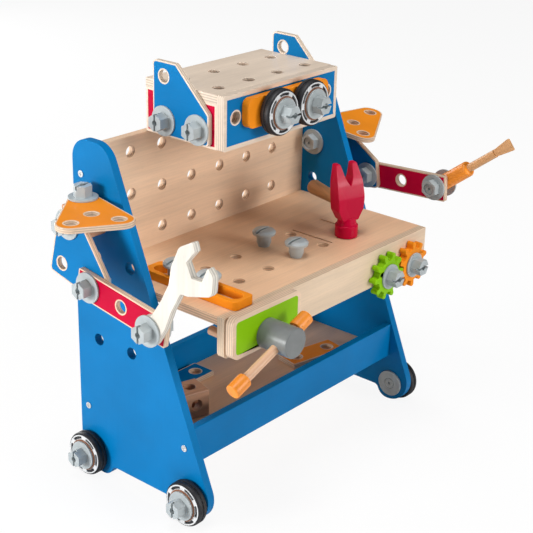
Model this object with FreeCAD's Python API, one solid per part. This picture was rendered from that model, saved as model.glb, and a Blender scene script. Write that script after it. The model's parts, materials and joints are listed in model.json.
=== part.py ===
import FreeCAD, Part
import math
import os

# Toy robot workbench: bolted plywood panels, four road wheels, a head with wheel eyes,
# two jointed arms, meshing gears, a vise and loose tools. Millimetres, +Z up, floor at Z 0.

os.makedirs("parts", exist_ok=True)

ORIGIN_X = 7.413          # moved to the row origin, which is the middle of the footprint
ORIGIN_Y = -32.008

PLY = 9.2               # plywood thickness of the frame
THIN = 5.6              # plywood thickness of plates, bars and ears
SIDE_X = 180.0          # outer face of a side panel
INNER_X = SIDE_X - PLY
GAP = 0.2               # space between layers that turn on each other
HOLE_R = 6.5            # bolt holes
SPIN_R = 6.8            # bores of wheels and gears
SHANK_R = 6.4           # bolt shanks, a running fit in the holes
PITCH = 46.5            # hole pitch of plates and bars
FLANGE_R = 16.0
FLANGE_T = 2.0
HEX_AF = 17.0
HEX_H = 12.0
NUT_AF = 18.0
NUT_HEX_H = 9.0
NUT_FLANGE_R = 15.3
GEAR_FLANGE_R = 14.2
DISC_T = 2.8
LIFT = 0.8              # triangle plates clear the shoulder bolt flanges by this much

WHEEL_R = 24.5
TYRE_W = 12.0
TYRE_IN_R = 17.9
FACE_R = 22.3
AXLE_Z = 24.5
AXLE_YS = (-66.2, 82.2)

REAR_Y = 99.0
PANEL_TOP = 379.5
BOARD_Y = 83.7          # front face of the pegboard
BENCH_Z = 228.1         # underside of the bench top; the apron covers its front edge
BENCH_TOP = BENCH_Z + PLY
APRON_Y = -101.1        # front face of the apron
ARM_Y = 67.0            # shoulder bolt
ARM_Z = 303.0
BLOCK = 31.0            # drilled cube

HEAD_X = 90.8
HEAD_FRONT = -25.3
HEAD_LOW = 368.7
HEAD_TOP = 426.0
EYE_X = 25.0
EYE_Z = 401.3
EYE_FACE = HEAD_FRONT - PLY

SHOULDER_TILT = (14.0, -8.0)    # left, right, degrees, positive leans forward
ARM_SLOPE = (-9.0, 3.3)         # left, right, degrees, positive rises forward
BLOCK_TILT = (0.0, 10.0)
TRIANGLE_TURN = (238.0, 191.0)
TRIANGLE_HOLES = [(0, 0), (PITCH, 0), (66.5, 23.2), (66.5, -23.2)]
TRIANGLE_PIVOT = (0, 3)         # left, right, which hole sits on the upright bolt

GEAR_XS = (90.0, 136.5)
GEAR_Z = 204.0
GEAR_TEETH = 10
GEAR_T = 9.2

VISE_X = -120.5
VISE_Z = 209.5
JAW_BACK = -103.3
PLATE_X = -137.5        # middle of the slotted plate and its pegs
ROD_Y = -135.0
ROD_SLOPE = 21.0

V = FreeCAD.Vector
AXES = {"X": V(1, 0, 0), "Y": V(0, 1, 0), "Z": V(0, 0, 1)}


# ---------------------------------------------------------------- helpers
def box(x0, x1, y0, y1, z0, z1):
    return Part.makeBox(x1 - x0, y1 - y0, z1 - z0, V(x0, y0, z0))


def rod(radius, length, start, direction):
    return Part.makeCylinder(radius, length, V(*start), V(*direction))


def fuse(shapes):
    out = shapes[0]
    for shape in shapes[1:]:
        out = out.fuse(shape)
    return out.removeSplitter()


def cut(shape, tools):
    for tool in tools:
        shape = shape.cut(tool)
    return shape


def outline(points, radii):
    """Closed wire through 2-D points with a radius at each corner."""
    count = len(points)
    arcs = []
    for i in range(count):
        p = V(points[i][0], points[i][1], 0)
        a = V(points[i - 1][0], points[i - 1][1], 0) - p
        b = V(points[(i + 1) % count][0], points[(i + 1) % count][1], 0) - p
        a.normalize()
        b.normalize()
        if radii[i] <= 0:
            arcs.append((p, None, p))
            continue
        half = a.getAngle(b) / 2
        reach = radii[i] / math.tan(half)
        middle = (a + b)
        middle.normalize()
        centre = p + middle * (radii[i] / math.sin(half))
        arcs.append((p + a * reach, centre - middle * radii[i], p + b * reach))
    edges = []
    for i in range(count):
        start, mid, end = arcs[i]
        if mid is not None:
            edges.append(Part.Arc(start, mid, end).toShape())
        following = arcs[(i + 1) % count][0]
        if (following - end).Length > 1e-6:
            edges.append(Part.makeLine(end, following))
    return Part.Wire(edges)


def slab(points, radii, axis, low, high):
    """Rounded 2-D outline swept from low to high along an axis; points are (Y,Z), (X,Z) or (X,Y)."""
    if not isinstance(radii, (list, tuple)):
        radii = [radii] * len(points)
    face = Part.Face(outline(points, radii))
    solid = face.extrude(V(0, 0, high - low))
    solid.translate(V(0, 0, low))
    if axis == "X":
        turn = FreeCAD.Matrix(0, 0, 1, 0, 1, 0, 0, 0, 0, 1, 0, 0, 0, 0, 0, 1)
        solid = solid.transformGeometry(turn)
    elif axis == "Y":
        solid.rotate(V(0, 0, 0), V(1, 0, 0), 90)
        solid = solid.mirror(V(0, 0, 0), V(0, 1, 0))
    return solid


def plate(x0, x1, y0, y1, z0, z1, axis, radius):
    """Flat board with rounded corners, thin along an axis."""
    if axis == "X":
        return slab([(y0, z0), (y1, z0), (y1, z1), (y0, z1)], radius, "X", x0, x1)
    if axis == "Y":
        return slab([(x0, z0), (x1, z0), (x1, z1), (x0, z1)], radius, "Y", y0, y1)
    return slab([(x0, y0), (x1, y0), (x1, y1), (x0, y1)], radius, "Z", z0, z1)


def drill(axis, low, high, spots, radius=HOLE_R):
    """Straight holes through a board; spots are the two other coordinates."""
    out = []
    for a, b in spots:
        start = {"X": (low - 1, a, b), "Y": (a, low - 1, b), "Z": (a, b, low - 1)}[axis]
        out.append(Part.makeCylinder(radius, high - low + 2, V(*start), AXES[axis]))
    return out


def stand(shape, seat, direction):
    """Carry a shape built along +Z to a seat point, pointing along a direction."""
    turn = FreeCAD.Rotation(V(0, 0, 1), V(*direction))
    shape = shape.copy()
    shape.Placement = FreeCAD.Placement(V(*seat), turn).multiply(shape.Placement)
    return shape


def hexagon(across, low, high):
    corner = across / math.sqrt(3)
    ring = [V(corner * math.cos(math.radians(60 * k)), corner * math.sin(math.radians(60 * k)), low)
            for k in range(7)]
    return Part.Face(Part.makePolygon(ring)).extrude(V(0, 0, high - low))


def bolt(seat, direction, length, flange_r=FLANGE_R):
    """Flanged hexagon bolt with a driver slot and a centre pit; the flange stands on the seat."""
    top = FLANGE_T + HEX_H
    head = fuse([rod(flange_r, FLANGE_T, (0, 0, 0), (0, 0, 1)), hexagon(HEX_AF, FLANGE_T, top)])
    head = cut(head, [box(-12, 12, -1.2, 1.2, top - 4.5, top + 1), rod(3.1, 8, (0, 0, top - 6), (0, 0, 1))])
    shank = rod(SHANK_R, length, (0, 0, 0), (0, 0, -1)).cut(rod(1.6, 3, (0, 0, -length - 1), (0, 0, 1)))
    return stand(fuse([head, shank]), seat, direction)


def nut(seat, direction):
    """Hexagon nut with its flange on the seat and an open bore that shows the bolt's end."""
    top = NUT_HEX_H + FLANGE_T
    body = fuse([hexagon(NUT_AF, FLANGE_T, top), rod(NUT_FLANGE_R, FLANGE_T, (0, 0, 0), (0, 0, 1))])
    body = body.cut(rod(SPIN_R, top + 2, (0, 0, -1), (0, 0, 1)))
    return stand(body, seat, direction)


def disc_nut(seat, direction):
    """Plain round nut inside a side panel, flush with the end of its axle bolt."""
    body = rod(FLANGE_R, DISC_T, (0, 0, 0), (0, 0, 1)).cut(rod(SPIN_R, DISC_T + 2, (0, 0, -1), (0, 0, 1)))
    return stand(body, seat, direction)


def group(shapes):
    return Part.makeCompound(shapes)


def tilted(shape, degrees, y, z):
    """Turn about the X axis at the origin, then carry to the shoulder or elbow point."""
    shape = shape.copy()
    shape.rotate(V(0, 0, 0), V(1, 0, 0), degrees)
    shape.translate(V(0, y, z))
    return shape


def lean(y, z, degrees):
    """Turn a 2-D (Y, Z) offset by an angle about X."""
    a = math.radians(degrees)
    return (y * math.cos(a) - z * math.sin(a), y * math.sin(a) + z * math.cos(a))


# ---------------------------------------------------------------- panels
def side_panel(side):
    points = [(99, 2.5), (99, PANEL_TOP), (49.7, PANEL_TOP), (-103, 2.5),
              (-53, 2.5), (-46, 15.8), (50, 15.8), (57, 2.5)]
    radii = [18, 22, 25, 27, 14, 7, 7, 14]
    low, high = sorted((side * INNER_X, side * SIDE_X))
    body = slab(points, radii, "X", low, high)
    spots = [(y, AXLE_Z) for y in AXLE_YS] + [(18.5, 258), (18.5, 163.4), (67, 163.4), (67, 258)]
    return cut(body, drill("X", low, high, spots + [(ARM_Y, ARM_Z)]))


def panel_screws():
    out = []
    for side in (-1, 1):
        for y, z in ((86.7, 342), (86.7, 78.2), (-56.5, 81.5)):
            head = rod(3.6, 0.8, (0, 0, 0), (0, 0, 1))
            for slot in (box(-2.4, 2.4, -0.45, 0.45, 0.3, 1), box(-0.45, 0.45, -2.4, 2.4, 0.3, 1)):
                head = head.cut(slot)
            out.append(stand(head, (side * SIDE_X, y, z), (side, 0, 0)))
    return group(out)


def pegboard():
    tab = [(-INNER_X, 190), (INNER_X, 190), (INNER_X, 367.9), (78, 367.9), (78, 419.5),
           (-78, 419.5), (-78, 367.9), (-INNER_X, 367.9)]
    body = slab(tab, [0, 0, 0, 3, 6, 6, 3, 0], "Y", BOARD_Y, BOARD_Y + PLY)
    spots = [(s * x, z) for x in (22.8, 68.4, 114) for s in (-1, 1) for z in (350.7, 303.9, 257)]
    return cut(body, drill("Y", BOARD_Y, BOARD_Y + PLY, spots))


def bench_top():
    body = box(-INNER_X, INNER_X, APRON_Y + PLY, BOARD_Y, BENCH_Z, BENCH_TOP)
    spots = [(x, y) for x in (0, 46, -46, -92, PLATE_X) for y in (-3.5, -49.5)]
    body = cut(body, drill("Z", BENCH_Z, BENCH_TOP, spots))
    for x in (58, 107):
        body = body.cut(plate(x - 1.4, x + 1.4, -53, 4, BENCH_Z - 1, BENCH_TOP + 1, "Z", 1.39))
    return body


def bench_apron():
    body = plate(-INNER_X, INNER_X, APRON_Y, APRON_Y + PLY, 194, BENCH_TOP, "Y", [5, 5, 0, 0])
    tools = drill("Y", APRON_Y, APRON_Y + PLY, [(x, GEAR_Z) for x in GEAR_XS] + [(VISE_X, VISE_Z)])
    return cut(body, tools + drill("Y", APRON_Y, APRON_Y + PLY, DOWEL_SPOTS, 4.85))


def tray_floor():
    return box(-INNER_X, INNER_X, -52.5, 82.1, 60.6, 69.8)


def tray_front_rail():
    return box(-INNER_X, INNER_X, -61.7, -52.5, 60.1, 102.3)


def tray_rear_rail():
    return box(-INNER_X, INNER_X, 82.1, 91.3, 60.1, 104)


# ---------------------------------------------------------------- head
def head_front():
    body = plate(-HEAD_X, HEAD_X, HEAD_FRONT, HEAD_FRONT + PLY, HEAD_LOW, HEAD_TOP, "Y", 2)
    spots = [(s * EYE_X, EYE_Z) for s in (-1, 1)] + [(s * 73, EYE_Z) for s in (-1, 1)]
    return cut(body, drill("Y", HEAD_FRONT, HEAD_FRONT + PLY, spots))


def head_top():
    body = box(-HEAD_X, HEAD_X, HEAD_FRONT + PLY, BOARD_Y, HEAD_TOP - PLY, HEAD_TOP)
    spots = [(s * x, y) for x in (22.8, 68.4) for s in (-1, 1) for y in (2.5, 51)]
    return cut(body, drill("Z", HEAD_TOP - PLY, HEAD_TOP, spots))


def head_side(side):
    low, high = sorted((side * (HEAD_X - PLY), side * HEAD_X))
    body = box(low, high, HEAD_FRONT + PLY, BOARD_Y, HEAD_LOW, HEAD_TOP - PLY)
    return cut(body, drill("X", low, high, EAR_SPOTS))


def eye_block():
    body = plate(-64, 64, EYE_FACE, HEAD_FRONT, 388.5, 419.5, "Y", 8)
    return cut(body, drill("Y", EYE_FACE, HEAD_FRONT, [(s * EYE_X, EYE_Z) for s in (-1, 1)]))


def corner_plate(low, high, top):
    """Square plate with one corner cut off and three holes; the first hole is at the origin."""
    rear = 15.5
    front = 15.5 - 77.5
    points = [(rear, top), (front + 45, top), (front, -29), (front, -62), (rear, -62)]
    body = slab(points, [5, 4, 4, 5, 5], "X", low, high)
    return cut(body, drill("X", low, high, [(0, 0), (0, -PITCH), (-PITCH, -PITCH)]))


EAR_H1 = (52.1, 433.5)
EAR_SPOTS = [(EAR_H1[0], EAR_H1[1] - PITCH), (EAR_H1[0] - PITCH, EAR_H1[1] - PITCH)]


def ear(side):
    low, high = sorted((side * HEAD_X, side * (HEAD_X + THIN)))
    body = corner_plate(low, high, 15.5)
    body.translate(V(0, EAR_H1[0], EAR_H1[1]))
    return body


# ---------------------------------------------------------------- wheels
def tyre(seat, direction):
    """Soft ring with round shoulders and a middle groove; distances run out from the mounting face."""
    profile = [(TYRE_IN_R, 1.2), (22.9, 1.2), (24.2, 2.2), (WHEEL_R, 3.8), (WHEEL_R, 6.3), (23.6, 6.8),
               (23.6, 8.0), (WHEEL_R, 8.5), (WHEEL_R, 10.2), (24.0, 12.0), (22.9, 13.2), (FACE_R + 0.1, 13.2),
               (FACE_R + 0.1, 12.1), (TYRE_IN_R, 12.1)]
    face = Part.Face(Part.makePolygon([V(r, 0, z) for r, z in profile + profile[:1]]))
    return stand(face.revolve(V(0, 0, 0), V(0, 0, 1), 360), seat, direction)


def hub(seat, direction):
    """Plastic wheel centre with a face ring opened by six curved windows."""
    core = rod(TYRE_IN_R - 0.05, 13.1, (0, 0, 0.4), (0, 0, 1))
    face = rod(FACE_R, 1.3, (0, 0, 12.2), (0, 0, 1))
    body = fuse([core, face])
    ring = rod(21.0, 6, (0, 0, 8.5), (0, 0, 1)).cut(rod(TYRE_IN_R + 0.01, 8, (0, 0, 8), (0, 0, 1)))
    for k in range(6):
        spoke = box(0, 30, -3.2, 3.2, 0, 20)
        spoke.rotate(V(0, 0, 0), V(0, 0, 1), 60 * k)
        ring = ring.cut(spoke)
    body = body.cut(ring)
    return stand(body.cut(rod(SPIN_R, 20, (0, 0, -1), (0, 0, 1))), seat, direction)


def washer(seat, direction):
    body = rod(17.5, 0.9, (0, 0, 13.6), (0, 0, 1)).cut(rod(HOLE_R, 5, (0, 0, 12), (0, 0, 1)))
    return stand(body, seat, direction)


def gear(x, phase):
    """Round-toothed gear against the apron."""
    pieces = [rod(19.4, GEAR_T, (0, 0, 0), (0, 0, 1))]
    for k in range(GEAR_TEETH):
        tooth = fuse([rod(3.0, GEAR_T, (23.7, 0, 0), (0, 0, 1)), box(16, 23.7, -3.0, 3.0, 0, GEAR_T)])
        tooth.rotate(V(0, 0, 0), V(0, 0, 1), phase + 360.0 * k / GEAR_TEETH)
        pieces.append(tooth)
    body = fuse(pieces).cut(rod(SPIN_R, 20, (0, 0, -5), (0, 0, 1)))
    return stand(body, (x, APRON_Y - GAP, GEAR_Z), (0, -1, 0))


# ---------------------------------------------------------------- vise
DOWEL_SPOTS = [(VISE_X - 37.5, 212.0), (VISE_X + 37.5, 212.0)]


def vise_jaw():
    body = plate(-171, -68, JAW_BACK - PLY, JAW_BACK, 195, 240, "Y", 9)
    tools = drill("Y", JAW_BACK - PLY, JAW_BACK, [(VISE_X, VISE_Z)])
    return cut(body, tools + drill("Y", JAW_BACK - 5, JAW_BACK, DOWEL_SPOTS, 4.75))


def vise_dowels():
    return group([rod(4.75, 38, (x, JAW_BACK - 6, z), (0, 1, 0)) for x, z in DOWEL_SPOTS])


def vise_screw():
    front = JAW_BACK - PLY - GAP
    head = rod(15.8, 37, (VISE_X, front, VISE_Z), (0, -1, 0))
    head = head.makeChamfer(1.0, [head.Edges[0]])
    shank = rod(SHANK_R, 50, (VISE_X, front - 1, VISE_Z), (0, 1, 0))
    collar = rod(9.5, 1.4, (VISE_X, JAW_BACK + GAP, VISE_Z), (0, 1, 0))
    body = fuse([head, shank, collar])
    d = rod_direction()
    start = (VISE_X - 30 * d[0], ROD_Y, VISE_Z - 30 * d[2])
    return body.cut(rod(4.9, 60, start, d))


def rod_direction():
    a = math.radians(ROD_SLOPE)
    return (-math.cos(a), 0, -math.sin(a))


def along_rod(distance):
    d = rod_direction()
    return (VISE_X + d[0] * distance, ROD_Y, VISE_Z + d[2] * distance)


def vise_rod():
    return rod(4.8, 112, along_rod(-34), rod_direction())


def vise_caps():
    out = []
    for start, sign in ((-17, -1), (61, 1)):
        d = rod_direction()
        way = (sign * d[0], 0, sign * d[2])
        cap = rod(7.8, 20, (0, 0, 0), (0, 0, 1))
        cap = cap.makeFillet(1.6, [e for e in cap.Edges if e.Curve.TypeId == "Part::GeomCircle"])
        cap = cap.cut(rod(4.8, 18, (0, 0, -1), (0, 0, 1)))
        out.append(stand(cap, along_rod(start), way))
    return group(out)


# ---------------------------------------------------------------- arms
def index(side):
    return 0 if side < 0 else 1


def layer(side, near, far):
    """X range of a layer given distances outside the panel face."""
    return sorted((side * (SIDE_X + near), side * (SIDE_X + far)))


def block(side):
    low, high = layer(side, GAP, BLOCK)
    half = BLOCK / 2
    body = box(low, high, -half, half, -half, half)
    body = body.makeFillet(1.5, body.Edges)
    mid = (low + high) / 2
    tools = drill("X", low, high, [(0, 0)]) + drill("Z", -half, half, [(mid, 0)])
    body = cut(body, tools + drill("Y", -half, half, [(mid, 0)]))
    return tilted(body, BLOCK_TILT[index(side)], ARM_Y, ARM_Z)


def shoulder_plate(side):
    low, high = layer(side, BLOCK, BLOCK + THIN)
    return tilted(corner_plate(low, high, 11.0), SHOULDER_TILT[index(side)], ARM_Y, ARM_Z)


def triangle(side):
    """Rounded triangular plate with four holes, one of them on the block's upright bolt."""
    mid = side * (SIDE_X + BLOCK / 2)
    body = slab([(-46.2, 0), (81.7, 44.6), (81.7, -44.6)], 15.2, "Z", 0, THIN)
    body = cut(body, drill("Z", 0, THIN, TRIANGLE_HOLES))
    x, y = TRIANGLE_HOLES[TRIANGLE_PIVOT[index(side)]]
    body.translate(V(-x, -y, 0))
    body.rotate(V(0, 0, 0), V(0, 0, 1), TRIANGLE_TURN[index(side)])
    body.translate(V(mid, 0, BLOCK / 2 + LIFT))
    return tilted(body, BLOCK_TILT[index(side)], ARM_Y, ARM_Z)


def block_bolt(side):
    mid = side * (SIDE_X + BLOCK / 2)
    seat = (mid, 0, BLOCK / 2 + THIN + LIFT + GAP)
    head = bolt(seat, (0, 0, 1), THIN + LIFT + GAP + 8.5, NUT_FLANGE_R)
    return tilted(head, BLOCK_TILT[index(side)], ARM_Y, ARM_Z)


def elbow(side):
    y, z = lean(-PITCH, -PITCH, SHOULDER_TILT[index(side)])
    return (ARM_Y + y, ARM_Z + z)


def wrist(side):
    y, z = elbow(side)
    a = math.radians(ARM_SLOPE[index(side)])
    return (y - 2 * PITCH * math.cos(a), z + 2 * PITCH * math.sin(a))


def arm_bar(side):
    low, high = layer(side, BLOCK + THIN + GAP, BLOCK + 2 * THIN + GAP)
    y, z = elbow(side)
    body = slab([(15.5, 15.5), (15.5, -15.5), (-2 * PITCH - 15.5, -15.5), (-2 * PITCH - 15.5, 15.5)],
                2.5, "X", low, high)
    body = cut(body, drill("X", low, high, [(-k * PITCH, 0) for k in range(3)]))
    return tilted(body, -ARM_SLOPE[index(side)], y, z)


def shoulder_bolts():
    return [bolt((s * (SIDE_X + BLOCK + THIN + GAP), ARM_Y, ARM_Z), (s, 0, 0), BLOCK + THIN + PLY + 9)
            for s in (-1, 1)]


def shoulder_nuts():
    return [nut((s * INNER_X, ARM_Y, ARM_Z), (-s, 0, 0)) for s in (-1, 1)]


def elbow_bolt(side):
    y, z = elbow(side)
    seat = side * (SIDE_X + BLOCK + 2 * THIN + 2 * GAP)
    return bolt((seat, y, z), (side, 0, 0), 2 * THIN + 2 * GAP + 9)


def elbow_nut(side):
    y, z = elbow(side)
    return nut((side * (SIDE_X + BLOCK), y, z), (-side, 0, 0))


def wrist_bolt(side, stack):
    y, z = wrist(side)
    seat = side * (SIDE_X + BLOCK + 2 * THIN + 2 * GAP + stack + GAP)
    return bolt((seat, y, z), (side, 0, 0), stack + THIN + 2 * GAP + 9)


def wrist_nut(side):
    y, z = wrist(side)
    return nut((side * (SIDE_X + BLOCK + THIN + GAP), y, z), (-side, 0, 0))


TOOL_NEAR = BLOCK + 2 * THIN + 2 * GAP
WRENCH_T = 8.0


def wrench():
    """Flat open-jawed wrench on the left wrist; outline is measured from the wrist bolt."""
    y, z = wrist(-1)
    points = [(13.5, -6), (6, -15), (-8, -14.5), (-22, 8), (-30.5, 29), (-42.5, 50.5), (-51, 50.5),
              (-81.5, 59), (-83, 79), (-76, 87), (-68.5, 70.5), (-56.5, 70.5), (-50, 84), (-61, 97),
              (-58, 106), (-40, 96), (-30, 74), (-27, 56), (-16, 35), (-4, 17), (8, 13)]
    radii = [10, 8, 8, 4, 4, 4, 8, 8, 6, 2, 1.2, 1.2, 1.2, 2, 2, 10, 12, 8, 4, 4, 8]
    low, high = layer(-1, TOOL_NEAR, TOOL_NEAR + WRENCH_T)
    body = slab([(y + a, z + b) for a, b in points], radii, "X", low, high)
    return cut(body, drill("X", low, high, [(y, z)]))


SCREWDRIVER_R = 9.2


def screwdriver_axis():
    a = math.radians(37.7)
    return (0, -math.cos(a), math.sin(a))


def screwdriver_point(distance):
    y, z = wrist(1)
    d = screwdriver_axis()
    x = SIDE_X + TOOL_NEAR + SCREWDRIVER_R
    return (x, y + d[1] * distance, z + d[2] * distance)


def screwdriver_handle():
    """Round grip, drilled across for the wrist bolt, with flats where the bolt clamps it."""
    d = screwdriver_axis()
    body = rod(SCREWDRIVER_R, 62, screwdriver_point(-15), d)
    body = body.makeFillet(3.0, [e for e in body.Edges if e.Curve.TypeId == "Part::GeomCircle"])
    y, z = wrist(1)
    far = SIDE_X + TOOL_NEAR + 2 * SCREWDRIVER_R
    body = body.cut(drill("X", far - 25, far + 5, [(y, z)])[0])
    body = body.cut(rod(17, 5, (far - 2.2, y, z), (1, 0, 0)))
    return body.cut(rod(4.9, 20, screwdriver_point(35), d))


def screwdriver_blade():
    """Wooden shaft with a flared flat tip."""
    d = screwdriver_axis()
    shaft = rod(4.8, 52, screwdriver_point(36), d)
    tip = [(84, -3.5), (112, -7.4), (112, 7.4), (84, 3.5)]
    flat = slab(tip, [1, 1.2, 1.2, 1], "Z", -2.2, 2.2)
    flat.rotate(V(0, 0, 0), V(0, 0, 1), 180)
    flat.rotate(V(0, 0, 0), V(1, 0, 0), 90)
    flat.rotate(V(0, 0, 0), V(0, 0, 1), 90)
    flat.rotate(V(0, 0, 0), V(1, 0, 0), -37.7)
    base = screwdriver_point(0)
    flat.translate(V(*base))
    return fuse([shaft, flat])


# ---------------------------------------------------------------- loose pieces
def peg(x, y, base):
    """Large-headed peg with a tapered foot and a shank for the bench holes."""
    profile = [(0, -15), (6.4, -15), (6.4, 0.3), (8.1, 4.8), (8.1, 12.5), (12.6, 13.6), (13, 16.5),
               (10.5, 19), (6, 20), (0, 20)]
    face = Part.Face(Part.makePolygon([V(r, 0, z) for r, z in profile + profile[:1]]))
    body = face.revolve(V(0, 0, 0), V(0, 0, 1), 360)
    body = body.cut(box(-14, 14, -1.5, 1.5, 16.5, 22))
    body.translate(V(x, y, base))
    return body


def slotted_plate():
    body = plate(PLATE_X - 14, PLATE_X + 14, -98, 31, BENCH_TOP + GAP, BENCH_TOP + GAP + PLY, "Z", 5)
    return body.cut(plate(PLATE_X - 8.2, PLATE_X + 8.2, -93, 24, BENCH_TOP - 1, BENCH_TOP + 12, "Z", 8.19))


HAMMER = (86.0, -51.0)
HAMMER_Z = 274.0
HAMMER_YAW = -18.3


def hammer_head():
    """Striking face down, neck, flat-sided cheek and two claws that sweep back at the tips."""
    x, y = HAMMER
    base = BENCH_TOP + GAP
    face = rod(13.0, 14.6, (x, y, base), (0, 0, 1))
    face = face.makeFillet(1.6, [e for e in face.Edges if e.Curve.TypeId == "Part::GeomCircle"])
    neck = Part.makeCone(11.4, 9.6, 8.4, V(x, y, base + 14.4), V(0, 0, 1))
    broad = [(-9.5, 257), (9.5, 257), (16.2, 270), (17.2, 287), (16.6, 302), (13.4, 321), (8.2, 321),
             (5.2, 306), (0, 296), (-5.2, 306), (-8.2, 321), (-13.4, 321), (-16.6, 302), (-17.2, 287),
             (-16.2, 270)]
    rounds = [2, 2, 6, 10, 20, 2.2, 2.2, 10, 1.2, 10, 2.2, 2.2, 20, 10, 6]
    side = [(-8, 257), (8, 257), (9.6, 285), (13, 321), (6, 321), (-4, 301), (-8.6, 282)]
    claw = slab(broad, rounds, "Y", -14, 16)
    claw = claw.common(slab(side, [2, 2, 20, 1.5, 2, 30, 20], "X", -20, 20))
    claw.translate(V(x, y, 0))
    body = fuse([face, neck, claw]).cut(rod(5.6, 30, (x, y, HAMMER_Z), (0, 1, 0)))
    body.rotate(V(x, y, 0), V(0, 0, 1), HAMMER_YAW)
    return body


def hammer_handle():
    """Tapered grip with a round end, plugged into the back of the head."""
    x, y = HAMMER
    grip = Part.makeCone(6.2, 8.8, 62, V(x, y + 10, HAMMER_Z), V(0, 1, 0))
    grip = grip.makeFillet(4, [max(grip.Edges, key=lambda e: e.BoundBox.YMin)])
    body = fuse([grip, rod(5.6, 11, (x, y, HAMMER_Z), (0, 1, 0))])
    body.rotate(V(x, y, 0), V(0, 0, 1), HAMMER_YAW)
    return body


def tray_block():
    half = BLOCK / 2
    body = box(-half, half, -half, half, 0, BLOCK)
    body = body.makeFillet(1.5, body.Edges)
    body = cut(body, drill("X", -half, half, [(0, half)]) + drill("Y", -half, half, [(0, half)])
               + drill("Z", 0, BLOCK, [(0, 0)]))
    body.rotate(V(0, 0, 0), V(0, 0, 1), -16)
    body.translate(V(-107, 6, 69.8 + GAP))
    return body


def loose_bar(x, y, yaw, holes):
    """Flat bar lying in the tray; the first hole is at x, y and the rest run along the yaw."""
    length = (holes - 1) * PITCH
    body = plate(-15.5, length + 15.5, -15.5, 15.5, 0, THIN, "Z", 2.5)
    body = cut(body, drill("Z", 0, THIN, [(k * PITCH, 0) for k in range(holes)]))
    body.rotate(V(0, 0, 0), V(0, 0, 1), yaw)
    body.translate(V(x, y, 69.8 + GAP))
    return body


# ---------------------------------------------------------------- every node
WHEELS = {"front_left": (-1, 0), "front_right": (1, 0), "rear_left": (-1, 1), "rear_right": (1, 1)}


def road_seats():
    return {name: ((side * SIDE_X, AXLE_YS[row], AXLE_Z), (side, 0, 0))
            for name, (side, row) in WHEELS.items()}


def eye_seats():
    return {"eye_left": ((-EYE_X, EYE_FACE, EYE_Z), (0, -1, 0)),
            "eye_right": ((EYE_X, EYE_FACE, EYE_Z), (0, -1, 0))}


def wheel_bolt(seat, direction, length):
    return bolt(tuple(s + 14.5 * d for s, d in zip(seat, direction)), direction, length + 14.5)


def ear_seats():
    return [((s * (HEAD_X + THIN), y, z), (s, 0, 0)) for s in (-1, 1) for y, z in EAR_SPOTS]


def frame_bolts():
    """Every bolt held by the fixed frame: axles, eyes, ears, gears, shoulders and the board."""
    out = [bolt((-22.8, BOARD_Y + PLY, 350.7), (0, 1, 0), PLY + 3)]
    out += [bolt(seat, way, THIN + PLY + 9) for seat, way in ear_seats()]
    out += [wheel_bolt(*seat, PLY + DISC_T) for seat in road_seats().values()]
    out += [wheel_bolt(*seat, 2 * PLY + 9) for seat in eye_seats().values()]
    out += [bolt((x, APRON_Y - GEAR_T - 2 * GAP, GEAR_Z), (0, -1, 0), GEAR_T + PLY + 9, GEAR_FLANGE_R)
            for x in GEAR_XS]
    return group(out + shoulder_bolts())


def frame_nuts():
    out = [nut((s * (HEAD_X - PLY), y, z), (-s, 0, 0)) for s in (-1, 1) for y, z in EAR_SPOTS]
    out += [disc_nut((s * INNER_X, y, AXLE_Z), (-s, 0, 0)) for s in (-1, 1) for y in AXLE_YS]
    out += [nut((s * EYE_X, HEAD_FRONT + PLY, EYE_Z), (0, 1, 0)) for s in (-1, 1)]
    out += [nut((x, APRON_Y + PLY, GEAR_Z), (0, 1, 0)) for x in GEAR_XS]
    out += [nut((VISE_X, APRON_Y + PLY, VISE_Z), (0, 1, 0))]
    return group(out + shoulder_nuts())


nodes = {
    "side_panel_left": side_panel(-1),
    "side_panel_right": side_panel(1),
    "panel_screws": panel_screws(),
    "pegboard": pegboard(),
    "bench_top": bench_top(),
    "bench_apron": bench_apron(),
    "tray_floor": tray_floor(),
    "tray_front_rail": tray_front_rail(),
    "tray_rear_rail": tray_rear_rail(),
    "head_front": head_front(),
    "head_top": head_top(),
    "head_sides": group([head_side(-1), head_side(1)]),
    "eye_block": eye_block(),
    "ears": group([ear(-1), ear(1)]),
    "frame_bolts": frame_bolts(),
    "frame_nuts": frame_nuts(),
    "washers": group([washer(*seat) for seat in (*road_seats().values(), *eye_seats().values())]),
    "gear_green": gear(GEAR_XS[0], 0.0),
    "gear_orange": gear(GEAR_XS[1], 180.0 / GEAR_TEETH),
    "vise_jaw": vise_jaw(),
    "vise_dowels": vise_dowels(),
    "vise_screw": vise_screw(),
    "vise_rod": vise_rod(),
    "vise_caps": vise_caps(),
    "wrench": wrench(),
    "screwdriver_handle": screwdriver_handle(),
    "screwdriver_blade": screwdriver_blade(),
    "bench_peg_front": peg(0, -49.5, BENCH_TOP),
    "bench_peg_rear": peg(0, -3.5, BENCH_TOP),
    "plate_pegs": group([peg(PLATE_X, y, BENCH_TOP + 4.4) for y in (-49.5, -3.5)]),
    "slotted_plate": slotted_plate(),
    "hammer_head": hammer_head(),
    "hammer_handle": hammer_handle(),
    "tray_block": tray_block(),
    "tray_bar_blue": loose_bar(-40.5, 61, 180, 2),
    "tray_bar_orange": loose_bar(113, -10, 168, 2),
}

for wheel_name, (wheel_seat, wheel_way) in {**road_seats(), **eye_seats()}.items():
    nodes["tyre_" + wheel_name] = tyre(wheel_seat, wheel_way)
    nodes["hub_" + wheel_name] = hub(wheel_seat, wheel_way)

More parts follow.
